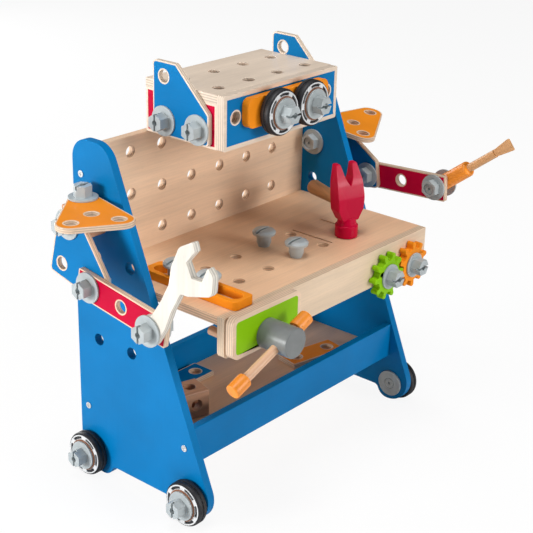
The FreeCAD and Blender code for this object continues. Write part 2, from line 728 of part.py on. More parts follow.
for arm_side, arm_name in ((-1, "left"), (1, "right")):
    tool_t = WRENCH_T if arm_side < 0 else 2 * SCREWDRIVER_R - 2.2
    nodes["block_" + arm_name] = block(arm_side)
    nodes["shoulder_plate_" + arm_name] = shoulder_plate(arm_side)
    nodes["triangle_" + arm_name] = triangle(arm_side)
    nodes["arm_bar_" + arm_name] = arm_bar(arm_side)
    nodes["shoulder_fasteners_" + arm_name] = group([block_bolt(arm_side), elbow_bolt(arm_side),
                                                     elbow_nut(arm_side)])
    nodes["wrist_fasteners_" + arm_name] = group([wrist_bolt(arm_side, tool_t), wrist_nut(arm_side)])

for name, shape in nodes.items():
    shape.translate(V(-ORIGIN_X, -ORIGIN_Y, 0))
    shape.exportStep("parts/" + name + ".step")
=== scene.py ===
"""Toy robot workbench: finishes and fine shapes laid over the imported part."""

import json
import logging
import math
from dataclasses import dataclass, field
from enum import Enum

import bmesh
import bpy
from mathutils import Euler, Matrix, Vector


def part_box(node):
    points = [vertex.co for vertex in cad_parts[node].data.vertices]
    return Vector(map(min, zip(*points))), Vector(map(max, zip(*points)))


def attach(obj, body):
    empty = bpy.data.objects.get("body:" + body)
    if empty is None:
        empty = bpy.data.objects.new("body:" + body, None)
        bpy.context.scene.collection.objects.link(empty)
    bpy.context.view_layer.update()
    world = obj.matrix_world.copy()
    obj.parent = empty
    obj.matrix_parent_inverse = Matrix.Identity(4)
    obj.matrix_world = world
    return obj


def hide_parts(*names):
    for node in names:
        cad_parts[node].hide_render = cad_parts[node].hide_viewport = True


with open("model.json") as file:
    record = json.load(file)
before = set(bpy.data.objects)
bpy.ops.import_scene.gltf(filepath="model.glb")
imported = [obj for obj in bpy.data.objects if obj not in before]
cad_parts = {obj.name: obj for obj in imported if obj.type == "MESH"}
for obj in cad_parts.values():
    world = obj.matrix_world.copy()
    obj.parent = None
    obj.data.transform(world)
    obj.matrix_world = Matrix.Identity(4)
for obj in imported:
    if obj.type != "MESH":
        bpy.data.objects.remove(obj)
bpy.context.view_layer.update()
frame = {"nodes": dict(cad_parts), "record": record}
LOG = logging.getLogger("workbench")

MM = 0.001
BOARD = 9.2 * MM
PLATE = 5.6 * MM
SHARP = math.radians(32)


class Axis(Enum):
    """The three main directions."""

    X = (1.0, 0.0, 0.0)
    Y = (0.0, 1.0, 0.0)
    Z = (0.0, 0.0, 1.0)


class Hue(Enum):
    """Linear colours of the toy's paints, woods and plastics."""

    BLUE = (0.000, 0.168, 0.430)
    CRIMSON = (0.520, 0.000, 0.034)
    ORANGE = (0.870, 0.270, 0.012)
    LIME = (0.240, 0.520, 0.004)
    PALE_WOOD = (0.760, 0.560, 0.400)
    HEAD_WOOD = (0.780, 0.640, 0.510)
    BOARD_WOOD = (0.880, 0.620, 0.420)
    BENCH_WOOD = (0.820, 0.530, 0.330)
    APRON_WOOD = (0.740, 0.560, 0.390)
    BLOCK_WOOD = (0.560, 0.290, 0.165)
    GRIP_WOOD = (0.640, 0.330, 0.135)
    DOWEL_WOOD = (0.680, 0.400, 0.240)
    CREAM_WOOD = (0.740, 0.690, 0.610)
    BROWN_WOOD = (0.230, 0.085, 0.035)
    PLASTIC = (0.400, 0.440, 0.450)
    DARK_PLASTIC = (0.170, 0.180, 0.180)
    HUB = (0.700, 0.715, 0.725)
    RUBBER = (0.007, 0.007, 0.009)
    STEEL = (0.700, 0.700, 0.700)


Colour = tuple[float, float, float]


def shade(colour: Colour, factor: float) -> Colour:
    """Return the colour made lighter or darker by a factor."""
    return tuple(min(1.0, c * factor) for c in colour)


@dataclass(frozen=True)
class Grain:
    """Local wood axes of one board: along the grain, across it, and through the thickness."""

    along: Colour
    through: Colour
    middle: Colour = (0.0, 0.0, 0.0)

    def rotation(self) -> tuple[float, float, float]:
        """Return the turn that carries object space to grain, cross and thickness axes."""
        thin = Vector(self.through).normalized()
        run = Vector(self.along)
        run = (run - thin * run.dot(thin)).normalized()
        rows = Matrix((run, thin.cross(run), thin))
        return tuple(rows.to_euler("XYZ"))

    def offset(self) -> tuple[float, float, float]:
        """Return the shift that puts the middle of the board at the pattern's origin."""
        return tuple(-(Euler(self.rotation(), "XYZ").to_matrix() @ Vector(self.middle)))


class Shader:
    """Small builder for a procedural node material."""

    def __init__(self, name: str) -> None:
        """Start a material with only its principled surface.

        Args:
            name: the material's name.
        """
        self.material = bpy.data.materials.new(name)
        self.material.use_nodes = True
        self.nodes = self.material.node_tree.nodes
        self.links = self.material.node_tree.links
        self.surface = self.nodes["Principled BSDF"]

    def node(self, kind: str, settings: dict | None = None, **inputs: object) -> bpy.types.Node:
        """Add a node, set its properties and its inputs.

        Args:
            kind: the node's type name.
            settings: properties of the node itself.
            inputs: socket names with underscores for spaces, or index_N for a numbered socket.

        Returns:
            The new node.
        """
        made = self.nodes.new(kind)
        for key, value in (settings or {}).items():
            setattr(made, key, value)
        for key, value in inputs.items():
            numbered = key.startswith("index_")
            socket = made.inputs[int(key[6:]) if numbered else key.replace("_", " ")]
            if isinstance(value, bpy.types.NodeSocket):
                self.links.new(value, socket)
            else:
                socket.default_value = value
        return made

    def math(self, operation: str, a: object, b: object = 0.0) -> bpy.types.NodeSocket:
        """Return the result of one arithmetic step."""
        return self.node("ShaderNodeMath", {"operation": operation}, index_0=a, index_1=b).outputs[0]

    def mix(self, factor: object, a: object, b: object) -> bpy.types.NodeSocket:
        """Return a colour between two colours."""
        made = self.node("ShaderNodeMix", {"data_type": "RGBA"})
        for index, value in ((0, factor), (6, a), (7, b)):
            if isinstance(value, bpy.types.NodeSocket):
                self.links.new(value, made.inputs[index])
            elif index == 0:
                made.inputs[index].default_value = value
            else:
                made.inputs[index].default_value = (*value, 1.0)
        return made.outputs[2]

    def ramp(self, factor: object, low: float, high: float) -> bpy.types.NodeSocket:
        """Return a value rescaled so that low becomes 0 and high becomes 1, held between them."""
        made = self.node("ShaderNodeMapRange", None, Value=factor, From_Min=low, From_Max=high)
        return made.outputs[0]

    def place(self, grain: Grain | None = None) -> bpy.types.NodeSocket:
        """Return object coordinates, turned to the grain where there is one."""
        coordinates = self.node("ShaderNodeTexCoord").outputs["Object"]
        if grain is None:
            return coordinates
        return self.node("ShaderNodeMapping", None, Vector=coordinates, Rotation=grain.rotation(),
                         Location=grain.offset()).outputs[0]

    def stretch(self, vector: object, x: float, y: float, z: float) -> bpy.types.NodeSocket:
        """Return a vector scaled along each axis."""
        multiply = {"operation": "MULTIPLY"}
        return self.node("ShaderNodeVectorMath", multiply, index_0=vector, index_1=(x, y, z)).outputs[0]

    def noise(self, vector: object, scale: float, detail: float = 4.0,
              distortion: float = 0.0) -> bpy.types.NodeSocket:
        """Return fractal noise from 0 to 1."""
        return self.node("ShaderNodeTexNoise", None, Vector=vector, Scale=scale, Detail=detail,
                         Distortion=distortion).outputs[0]

    def facing(self, grain: Grain) -> bpy.types.NodeSocket:
        """Return how squarely the surface faces through the board's thickness, 0 to 1."""
        normal = self.node("ShaderNodeTexCoord").outputs["Normal"]
        dot = self.node("ShaderNodeVectorMath", {"operation": "DOT_PRODUCT"}, index_0=normal,
                        index_1=tuple(Vector(grain.through).normalized()))
        return self.math("ABSOLUTE", dot.outputs["Value"])

    def bump(self, height: object, depth: float, strength: float = 1.0) -> None:
        """Raise the surface by a height pattern, depth in metres."""
        made = self.node("ShaderNodeBump", None, Height=height, Distance=depth, Strength=strength)
        self.links.new(made.outputs[0], self.surface.inputs["Normal"])

    def finish(self, colour: object, rough: object, coat: float = 0.0, metal: float = 0.0,
               gloss: float = 0.5) -> bpy.types.Material:
        """Join colour and roughness to the surface and return the material."""
        for name, value in (("Base Color", colour), ("Roughness", rough)):
            if isinstance(value, bpy.types.NodeSocket):
                self.links.new(value, self.surface.inputs[name])
            elif name == "Base Color":
                self.surface.inputs[name].default_value = (*value, 1.0)
            else:
                self.surface.inputs[name].default_value = value
        self.surface.inputs["Coat Weight"].default_value = coat
        self.surface.inputs["Coat Roughness"].default_value = 0.18
        self.surface.inputs["Metallic"].default_value = metal
        self.surface.inputs["Specular IOR Level"].default_value = gloss
        return self.material


@dataclass(frozen=True)
class Plywood:
    """Lacquered plywood: veneer figure on the faces and stacked plies on the edges."""

    hue: Hue = Hue.PALE_WOOD
    plies: int = 7
    thickness: float = BOARD

    def figure(self, shader: Shader, place: object) -> tuple[object, object]:
        """Return the veneer's colour and its fine height pattern."""
        broad = shader.noise(shader.stretch(place, 5.0, 42.0, 42.0), 1.0, 3.0, 0.6)
        streak = shader.noise(shader.stretch(place, 16.0, 420.0, 420.0), 1.0, 5.0)
        pores = shader.noise(shader.stretch(place, 150.0, 2600.0, 2600.0), 1.0, 2.0)
        slow = shader.math("MULTIPLY", broad, 0.65)
        tone = shader.math("ADD", slow, shader.math("MULTIPLY", streak, 0.35))
        pale, deep = shade(self.hue.value, 1.10), shade(self.hue.value, 0.86)
        body = shader.mix(shader.ramp(tone, 0.33, 0.66), deep, pale)
        flecks = shader.math("MULTIPLY", shader.ramp(pores, 0.60, 0.75), 0.35)
        return shader.mix(flecks, body, shade(self.hue.value, 0.60)), streak

    def plies_colour(self, shader: Shader, place: object, streak: object) -> object:
        """Return the colour of the cut edge, alternate plies light and dark."""
        split = shader.node("ShaderNodeSeparateXYZ", None, Vector=place)
        height = shader.math("DIVIDE", split.outputs[2], self.thickness / self.plies)
        wobble = shader.math("MULTIPLY", shader.noise(place, 60.0, 2.0), 0.25)
        band = shader.math("PINGPONG", shader.math("ADD", height, shader.math("ADD", wobble, 0.37)), 1.0)
        light = shader.mix(streak, shade(self.hue.value, 0.88), shade(self.hue.value, 1.12))
        dark = shader.mix(streak, shade(self.hue.value, 0.60), shade(self.hue.value, 0.78))
        return shader.mix(shader.ramp(band, 0.38, 0.62), dark, light)

    def material(self, name: str, grain: Grain) -> bpy.types.Material:
        """Return bare lacquered plywood for one board."""
        shader = Shader(name)
        place = shader.place(grain)
        face, streak = self.figure(shader, place)
        edge = self.plies_colour(shader, place, streak)
        onto = shader.ramp(shader.facing(grain), 0.55, 0.75)
        shader.bump(streak, 0.00006, 0.6)
        rough = shader.math("ADD", 0.36, shader.math("MULTIPLY", streak, 0.16))
        return shader.finish(shader.mix(onto, edge, face), rough, coat=0.12)


@dataclass(frozen=True)
class Paint:
    """Satin paint on wood, with the grain just showing and slight unevenness."""

    hue: Hue
    rough: float = 0.36
    coat: float = 0.15

    def material(self, name: str, grain: Grain) -> bpy.types.Material:
        """Return the paint for one board or turned piece."""
        shader = Shader(name)
        place = shader.place(grain)
        cloud = shader.noise(place, 14.0, 3.0)
        streak = shader.noise(shader.stretch(place, 20.0, 480.0, 480.0), 1.0, 4.0)
        orange_peel = shader.noise(place, 900.0, 2.0)
        pale, deep = shade(self.hue.value, 1.07), shade(self.hue.value, 0.90)
        colour = shader.mix(shader.ramp(cloud, 0.3, 0.7), deep, pale)
        colour = shader.mix(shader.math("MULTIPLY", shader.ramp(streak, 0.55, 0.8), 0.16), colour,
                            shade(self.hue.value, 0.72))
        ridges = shader.math("MULTIPLY", streak, 0.7)
        height = shader.math("ADD", ridges, shader.math("MULTIPLY", orange_peel, 0.3))
        shader.bump(height, 0.00007, 0.7)
        rough = shader.math("ADD", self.rough - 0.05, shader.math("MULTIPLY", cloud, 0.12))
        return shader.finish(colour, rough, coat=self.coat * 0.5, gloss=0.07)


def printed(hue: Hue) -> Paint:
    """Return the flat, matt print used on the thin plates."""
    return Paint(hue, 0.42, 0.05)


@dataclass(frozen=True)
class Stain:
    """Translucent stain on turned wood: the grain shows through the colour."""

    hue: Hue
    depth: float = 0.35

    def material(self, name: str, grain: Grain) -> bpy.types.Material:
        """Return the stained or clear wood for one turned piece."""
        shader = Shader(name)
        place = shader.place(grain)
        rings = shader.noise(shader.stretch(place, 10.0, 130.0, 130.0), 1.0, 3.0, 0.4)
        pores = shader.noise(shader.stretch(place, 240.0, 2800.0, 2800.0), 1.0, 2.0)
        colour = shader.mix(shader.ramp(rings, 0.34, 0.68), shade(self.hue.value, 1.0 - self.depth),
                            shade(self.hue.value, 1.08))
        colour = shader.mix(shader.math("MULTIPLY", shader.ramp(pores, 0.58, 0.80), 0.22), colour,
                            shade(self.hue.value, 0.5))
        shader.bump(shader.math("ADD", rings, shader.math("MULTIPLY", pores, 0.5)), 0.00008, 0.6)
        rough = shader.math("ADD", 0.38, shader.math("MULTIPLY", rings, 0.15))
        return shader.finish(colour, rough, coat=0.1)


@dataclass(frozen=True)
class Moulded:
    """Moulded plastic with a faint flow pattern, fine texture and handling marks."""

    hue: Hue
    rough: float = 0.34

    def material(self, name: str) -> bpy.types.Material:
        """Return the plastic."""
        shader = Shader(name)
        place = shader.place()
        flow = shader.noise(place, 55.0, 4.0, 1.2)
        grit = shader.noise(place, 1700.0, 2.0)
        scuffs = shader.noise(shader.stretch(place, 90.0, 900.0, 300.0), 1.0, 6.0)
        marks = shader.ramp(scuffs, 0.62, 0.72)
        pale, deep = shade(self.hue.value, 1.07), shade(self.hue.value, 0.92)
        colour = shader.mix(shader.ramp(flow, 0.3, 0.7), deep, pale)
        colour = shader.mix(shader.math("MULTIPLY", marks, 0.18), colour, shade(self.hue.value, 1.30))
        shader.bump(shader.math("ADD", grit, shader.math("MULTIPLY", flow, 0.6)), 0.00005, 0.6)
        rough = shader.math("ADD", self.rough, shader.math("MULTIPLY", marks, 0.16))
        return shader.finish(colour, rough, coat=0.05)


@dataclass(frozen=True)
class Rubber:
    """Soft black tyre with dust in its fine texture."""

    hue: Hue = Hue.RUBBER

    def material(self, name: str) -> bpy.types.Material:
        """Return the tyre rubber."""
        shader = Shader(name)
        place = shader.place()
        dust = shader.noise(place, 85.0, 5.0)
        grit = shader.noise(place, 2200.0, 2.0)
        colour = shader.mix(shader.ramp(dust, 0.45, 0.85), self.hue.value, shade(self.hue.value, 2.6))
        shader.bump(grit, 0.00006, 0.7)
        rough = shader.math("ADD", 0.42, shader.math("MULTIPLY", dust, 0.22))
        return shader.finish(colour, rough)


@dataclass(frozen=True)
class Plated:
    """Plated steel of the small screws, brushed round."""

    hue: Hue = Hue.STEEL

    def material(self, name: str) -> bpy.types.Material:
        """Return the plated steel."""
        shader = Shader(name)
        place = shader.place()
        brush = shader.noise(shader.stretch(place, 200.0, 3000.0, 200.0), 1.0, 3.0)
        colour = shader.mix(brush, shade(self.hue.value, 0.8), shade(self.hue.value, 1.15))
        shader.bump(brush, 0.00002, 0.5)
        rough = shader.math("ADD", 0.22, shader.math("MULTIPLY", brush, 0.2))
        return shader.finish(colour, rough, metal=1.0)


class Bench:
    """Shared workshop: merges CAD copies, eases their edges and adds the new pieces to the scene under their
    bodies.
    """

    slots: dict[str, str] = {s["node"]: s["material_slot"] for s in frame["record"]["subparts"]}
    bodies: dict[str, str] = {
        node: body for body, members in frame["record"]["behaviour"]["bodies"].items() for node in members
    }

    @staticmethod
    def merged(node: str) -> bmesh.types.BMesh:
        """Return a joined copy of a CAD node's loose triangles."""
        made = bmesh.new()
        made.from_mesh(frame["nodes"][node].data)
        bmesh.ops.remove_doubles(made, verts=made.verts, dist=1e-6)
        bmesh.ops.recalc_face_normals(made, faces=made.faces)
        return made

    @staticmethod
    def middle(node: str) -> Vector:
        """Return the middle of a node's box."""
        low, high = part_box(node)
        return (low + high) / 2

    @classmethod
    def grain(cls, node: str, along: Colour, through: Colour) -> Grain:
        """Return the grain of a node, its pattern starting at the node's middle."""
        return Grain(along, through, tuple(cls.middle(node)))

    @staticmethod
    def thin_axis(mesh: bmesh.types.BMesh) -> Vector:
        """Return the direction that most of the mesh's area faces."""
        areas: dict[tuple[float, float, float], float] = {}
        for face in mesh.faces:
            n = face.normal if face.normal.dot(Vector((0.3, 0.5, 0.8))) >= 0 else -face.normal
            key = tuple(round(c, 2) + 0.0 for c in n)
            areas[key] = areas.get(key, 0.0) + face.calc_area()
        best = max(sorted(areas), key=lambda k: areas[k])
        return Vector(best).normalized()

    @staticmethod
    def print_faces(mesh: bmesh.types.BMesh, thin: Vector, border: float, front_only: bool = False,
                    margin: float = 0.0) -> None:
        """Inset the broad faces and give the middle the second material slot.

        Args:
            mesh: the merged board.
            thin: direction across the board.
            border: width of bare wood left at edges and holes.
            front_only: print only the faces that look against the thin direction.
            margin: extra straight strip left bare along the board's four sides.
        """
        bmesh.ops.dissolve_limit(mesh, angle_limit=math.radians(0.4), verts=mesh.verts, edges=mesh.edges)
        strips = []
        across = [Vector(a.value) for a in Axis if abs(Vector(a.value).dot(thin)) < 0.5]
        for axis in across if margin > 0 else []:
            reach = [v.co.dot(axis) for v in mesh.verts]
            inner = (min(reach) + margin, max(reach) - margin)
            strips.append((axis, inner))
            for level in inner:
                bmesh.ops.bisect_plane(mesh, geom=mesh.verts[:] + mesh.edges[:] + mesh.faces[:],
                                       plane_co=axis * level, plane_no=axis)
        planes: dict[int, list[bmesh.types.BMFace]] = {}
        for face in mesh.faces:
            facing = face.normal.dot(thin)
            centre = face.calc_center_median()
            outside = any(not low < centre.dot(axis) < high for axis, (low, high) in strips)
            if abs(facing) > 0.99 and not outside and not (front_only and facing > 0):
                planes.setdefault(round(centre.dot(thin) / (0.1 * MM)), []).append(face)
        for level in sorted(planes):
            bmesh.ops.inset_region(mesh, faces=planes[level], thickness=border, use_even_offset=True,
                                   use_boundary=True)
            for face in planes[level]:
                face.material_index = 1

    @classmethod
    def publish(cls, name: str, mesh: bmesh.types.BMesh, materials: list[bpy.types.Material], body: str,
                slot: str, stands_for: tuple[str, ...] = (), ease: float = 0.0,
                segments: int = 2) -> bpy.types.Object:
        """Turn a bmesh into a finished piece of the scene.

        Args:
            name: the piece's name.
            mesh: its shape, freed here.
            materials: one material per slot index.
            body: the CAD body it moves with.
            slot: the record's material slot; not used.
            stands_for: CAD nodes that it replaces.
            ease: width of the rounded edges, 0 for none.
            segments: steps in each rounded edge.

        Returns:
            The new object.
        """
        for face in mesh.faces:
            face.smooth = True
        for edge in mesh.edges:
            edge.smooth = not (edge.is_manifold and edge.calc_face_angle(0.0) > SHARP)
        data = bpy.data.meshes.new(name)
        mesh.to_mesh(data)
        mesh.free()
        for material in materials:
            data.materials.append(material)
        made = bpy.data.objects.new(name, data)
        bpy.context.scene.collection.objects.link(made)
        if ease > 0:
            rounded = made.modifiers.new("eased edges", "BEVEL")
            rounded.width = ease
            rounded.segments = segments
            rounded.limit_method = "ANGLE"
            rounded.angle_limit = SHARP
            rounded.harden_normals = True
        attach(made, body)
        if stands_for:
            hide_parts(*stands_for)
        LOG.info("%s: %d faces", name, len(data.polygons))
        return made

    @classmethod
    def refine(cls, node: str, materials: list[bpy.types.Material], ease: float = 0.0005, border: float = 0.0,
               thin: Vector | None = None, front_only: bool = False, segments: int = 2,
               margin: float = 0.0) -> bpy.types.Object:
        """Replace a CAD node by its own shape with eased edges and, where asked, printed faces."""
        mesh = cls.merged(node)
        bmesh.ops.dissolve_degenerate(mesh, dist=1e-6, edges=mesh.edges)
        if border > 0:
            cls.print_faces(mesh, thin or cls.thin_axis(mesh), border, front_only, margin)
        bmesh.ops.dissolve_limit(mesh, angle_limit=math.radians(0.6), verts=mesh.verts, edges=mesh.edges,
                                 delimit={"MATERIAL"})
        return cls.publish(node + "_look", mesh, materials, cls.bodies[node], cls.slots[node], (node,), ease,
                           segments)


@dataclass
class Panels:
    """Fixed boards: blue sides and rails, bare pegboard, bench, apron and tray floor."""

    paint: Paint = Paint(Hue.BLUE)

    def painted(self) -> None:
        """Dress the painted side panels and tray rails."""
        for node, along, thin in (
                ("side_panel_left", Axis.Z, Axis.X),
                ("side_panel_right", Axis.Z, Axis.X),
                ("tray_front_rail", Axis.X, Axis.Y),
                ("tray_rear_rail", Axis.X, Axis.Y)):
            grain = Bench.grain(node, along.value, thin.value)
            Bench.refine(node, [self.paint.material(node + "_paint", grain)], 0.0011, segments=3)

    def clear(self) -> None:
        """Dress the bare plywood boards."""
        for node, thin, hue, ease in (
                ("pegboard", Axis.Y, Hue.BOARD_WOOD, 0.0004),
                ("bench_top", Axis.Z, Hue.BENCH_WOOD, 0.0004),
                ("bench_apron", Axis.Y, Hue.APRON_WOOD, 0.0016),
                ("tray_floor", Axis.Z, Hue.BENCH_WOOD, 0.0004)):
            grain = Bench.grain(node, Axis.X.value, thin.value)
            Bench.refine(node, [Plywood(hue).material(node + "_ply", grain)], ease)

    def build(self) -> None:
        """Build every fixed board and its screws."""
        self.painted()
        self.clear()
        Bench.refine("panel_screws", [Plated().material("plated_screw")], 0.00015)


@dataclass
class Head:
    """Box head with printed front, sides, eye block and ears."""

    bare: Plywood = Plywood(Hue.HEAD_WOOD)
    front_border: float = 0.0016
    front_margin: float = 0.0030
    side_border: float = 0.003
    ear_border: float = 0.0016

    def board(self, node: str, thin: Axis, hue: Hue | None, border: float, front_only: bool = False,
              margin: float = 0.0) -> None:
        """Dress one head board, bare or printed."""
        grain = Bench.grain(node, Axis.X.value if thin is not Axis.X else Axis.Y.value, thin.value)
        materials = [self.bare.material(node + "_ply", grain)]
        if hue:
            materials.append(printed(hue).material(node + "_print", grain))
        Bench.refine(node, materials, 0.0006, border if hue else 0.0, Vector(thin.value), front_only,
                     margin=margin)

    def build(self) -> None:
        """Build the head's boards."""
        self.board("head_top", Axis.Z, None, 0.0)
        self.board("head_front", Axis.Y, Hue.BLUE, self.front_border, True, self.front_margin)
        self.board("head_sides", Axis.X, Hue.CRIMSON, self.side_border)
        self.board("ears", Axis.X, Hue.BLUE, self.ear_border)
        grain = Bench.grain("eye_block", Axis.X.value, Axis.Y.value)
        Bench.refine("eye_block", [Paint(Hue.ORANGE, 0.38, 0.1).material("eye_block_paint", grain)], 0.0008)


@dataclass
class Wheel:
    """Black tyre with a ribbed middle groove round a pale plastic hub."""

    name: str
    ribs: int = 30
    rib_radius: float = 23.65 * MM
    rib_offset: float = 0.2 * MM
    rib_size: tuple[float, float, float] = (0.9 * MM, 1.5 * MM, 0.9 * MM)
    steps: int = 96
    rubber: Rubber = Rubber()
    plastic: Moulded = Moulded(Hue.HUB, 0.3)
    section: tuple[tuple[float, float], ...] = (
        (-6.0, 17.9), (-6.0, 22.7), (-5.6, 23.5), (-4.9, 24.1), (-3.9, 24.45), (-1.0, 24.45), (-0.6, 24.1),
        (-0.5, 23.6), (0.9, 23.6), (1.0, 24.1), (1.4, 24.45), (3.1, 24.45), (4.4, 24.15), (5.4, 23.6),
        (5.95, 22.9), (5.95, 22.45), (4.9, 22.4), (4.9, 17.9))

    def outward(self) -> Vector:
        """Return the direction that the wheel's outer face looks."""
        if self.name.startswith("eye"):
            return -Vector(Axis.Y.value)
        return Vector(Axis.X.value) * (-1 if "left" in self.name else 1)

    def tyre(self) -> None:
        """Build the ring by spinning its section, then add the ribs in its groove."""
        node = "tyre_" + self.name
        centre = Bench.middle(node)
        out = self.outward()
        side = Vector(Axis.Z.value)
        mesh = bmesh.new()
        verts = [mesh.verts.new(centre + out * a * MM + side * r * MM) for a, r in self.section]
        edges = [mesh.edges.new((verts[i], verts[(i + 1) % len(verts)])) for i in range(len(verts))]
        bmesh.ops.spin(mesh, geom=verts + edges, cent=centre, axis=out, angle=math.tau, steps=self.steps,
                       use_merge=True)
        bmesh.ops.remove_doubles(mesh, verts=mesh.verts, dist=1e-6)
        basis = Matrix((side, out, out.cross(side))).transposed().to_4x4()
        shift = Matrix.Translation(side * self.rib_radius + out * self.rib_offset)
        size = Matrix.Diagonal((*self.rib_size, 1.0))
        for k in range(self.ribs):
            turn = Matrix.Rotation(math.tau * k / self.ribs, 4, out)
            place = Matrix.Translation(centre) @ turn @ shift
            bmesh.ops.create_cube(mesh, size=1.0, matrix=place @ basis @ size)
        bmesh.ops.recalc_face_normals(mesh, faces=mesh.faces)
        Bench.publish(node + "_round", mesh, [self.rubber.material(node + "_rubber")], Bench.bodies[node],
                      Bench.slots[node], (node,))

    def build(self) -> None:
        """Build the tyre and dress the hub."""
        self.tyre()
        Bench.refine("hub_" + self.name, [self.plastic.material("hub_" + self.name + "_plastic")], 0.0004)


@dataclass
class Gears:
    """Pair of round-toothed gears painted green and orange."""

    def build(self) -> None:
        """Build both gears with softened teeth."""
        for node, hue in (("gear_green", Hue.LIME), ("gear_orange", Hue.ORANGE)):
            grain = Bench.grain(node, Axis.Z.value, Axis.Y.value)
            Bench.refine(node, [Paint(hue, 0.4, 0.1).material(node + "_paint", grain)], 0.0009, segments=3)


@dataclass
class Vise:
    """Sliding jaw, cylinder-headed screw and its rod with caps."""

    border: float = 0.005

    def build(self) -> None:
        """Build the jaw, dowels, screw, rod and caps."""
        grain = Bench.grain("vise_jaw", Axis.X.value, Axis.Y.value)
        bare = Plywood(Hue.PALE_WOOD).material("vise_jaw_ply", grain)
        print_ = printed(Hue.LIME).material("vise_jaw_print", grain)
        Bench.refine("vise_jaw", [bare, print_], 0.0008, self.border, Vector(Axis.Y.value), True)
        dowel = Bench.grain("vise_dowels", Axis.Y.value, Axis.X.value)
        Bench.refine("vise_dowels", [Stain(Hue.DOWEL_WOOD).material("dowel_wood", dowel)], 0.0008)
        Bench.refine("vise_screw", [Moulded(Hue.DARK_PLASTIC, 0.3).material("vise_screw_plastic")], 0.0006)
        low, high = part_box("vise_rod")
        run = Bench.grain("vise_rod", tuple((high - low).normalized()), Axis.Y.value)
        Bench.refine("vise_rod", [Stain(Hue.DOWEL_WOOD, 0.25).material("rod_wood", run)], 0.0005)
        Bench.refine("vise_caps", [Stain(Hue.ORANGE, 0.18).material("cap_stain", run)], 0.0006)


@dataclass
class Arm:
    """One arm: drilled cube, printed plates, printed bar, fasteners."""

    side: str
    border: float = 1.6 * MM
    ease: float = 0.5 * MM
    ply: Plywood = Plywood(Hue.PALE_WOOD, 5, PLATE)

    def plate(self, node: str, hue: Hue) -> None:
        """Dress a printed plate whose thin direction comes from its own faces."""
        mesh = Bench.merged(node)
        thin = Bench.thin_axis(mesh)
        mesh.free()
        along = Axis.Y.value if abs(thin.y) < 0.5 else Axis.X.value
        grain = Bench.grain(node, along, tuple(thin))
        bare = self.ply.material(node + "_ply", grain)
        inked = printed(hue).material(node + "_print", grain)
        Bench.refine(node, [bare, inked], self.ease, self.border, thin)

    def build(self) -> None:
        """Build the plates, the cube and the fasteners of this arm."""
        self.plate("shoulder_plate_" + self.side, Hue.BLUE)
        self.plate("triangle_" + self.side, Hue.ORANGE)
        self.plate("arm_bar_" + self.side, Hue.CRIMSON)
        node = "block_" + self.side
        grain = Bench.grain(node, Axis.X.value, Axis.Z.value)
        Bench.refine(node, [Stain(Hue.BLOCK_WOOD, 0.22).material(node + "_wood", grain)], 0.0004)
        for node in ("shoulder_fasteners_" + self.side, "wrist_fasteners_" + self.side):
            Bench.refine(node, [Moulded(Hue.PLASTIC).material(node + "_plastic")], 0.0007)


@dataclass
class Tools:
    """Wrench, screwdriver and hammer."""

    def build(self) -> None:
        """Build the three tools."""
        grain = Bench.grain("wrench", Axis.Z.value, Axis.X.value)
        cream = Plywood(Hue.CREAM_WOOD, 5, 0.008).material("wrench_ply", grain)
        Bench.refine("wrench", [cream], 0.0011, segments=3)
        low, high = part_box("screwdriver_blade")
        run = Vector((0.0, low.y - high.y, high.z - low.z)).normalized()
        axis = Bench.grain("screwdriver_blade", tuple(run), Axis.X.value)
        Bench.refine("screwdriver_handle", [Stain(Hue.ORANGE, 0.2).material("driver_stain", axis)], 0.0008)
        Bench.refine("screwdriver_blade", [Stain(Hue.GRIP_WOOD, 0.2).material("driver_wood", axis)], 0.0007)
        upright = Bench.grain("hammer_head", Axis.Z.value, Axis.X.value)
        Bench.refine("hammer_head", [Paint(Hue.CRIMSON, 0.26, 0.3).material("hammer_paint", upright)], 0.0016,
                     segments=4)
        low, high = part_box("hammer_handle")
        lie = Bench.grain("hammer_handle", tuple((high - low).normalized()), Axis.Z.value)
        varnish = Stain(Hue.GRIP_WOOD, 0.35).material("hammer_stain", lie)
        Bench.refine("hammer_handle", [varnish], 0.0012, segments=3)


@dataclass
class Loose:
    """Pegs, slotted plate and the pieces in the tray."""

    block_grain: Colour = (0.96, -0.28, 0.0)

    def build(self) -> None:
        """Build every loose piece."""
        for node in ("bench_peg_front", "bench_peg_rear", "plate_pegs"):
            Bench.refine(node, [Moulded(Hue.PLASTIC).material(node + "_plastic")], 0.0007)
        for node, hue in (("tray_bar_blue", Hue.BLUE), ("tray_bar_orange", Hue.ORANGE)):
            grain = Bench.grain(node, Axis.X.value, Axis.Z.value)
            bare = Plywood(Hue.PALE_WOOD, 5, PLATE).material(node + "_ply", grain)
            print_ = printed(hue).material(node + "_print", grain)
            Bench.refine(node, [bare, print_], 0.0005, 0.0016, Vector(Axis.Z.value))
        grain = Bench.grain("slotted_plate", Axis.Y.value, Axis.Z.value)
        paint = Paint(Hue.ORANGE, 0.36, 0.12).material("slotted_plate_paint", grain)
        Bench.refine("slotted_plate", [paint], 0.0009)
        grain = Bench.grain("tray_block", self.block_grain, Axis.Z.value)
        Bench.refine("tray_block", [Stain(Hue.BLOCK_WOOD, 0.22).material("tray_block_wood", grain)], 0.0004)


@dataclass
class Fasteners:
    """Grey flanged bolts and nuts of the frame, and the brown washers."""

    def build(self) -> None:
        """Build the frame's fasteners."""
        grey = Moulded(Hue.PLASTIC).material("fastener_plastic")
        Bench.refine("frame_bolts", [grey], 0.0007)
        Bench.refine("frame_nuts", [grey], 0.0007)
        grain = Grain(Axis.Z.value, Axis.X.value)
        Bench.refine("washers", [Stain(Hue.BROWN_WOOD, 0.3).material("washer_wood", grain)], 0.0002)


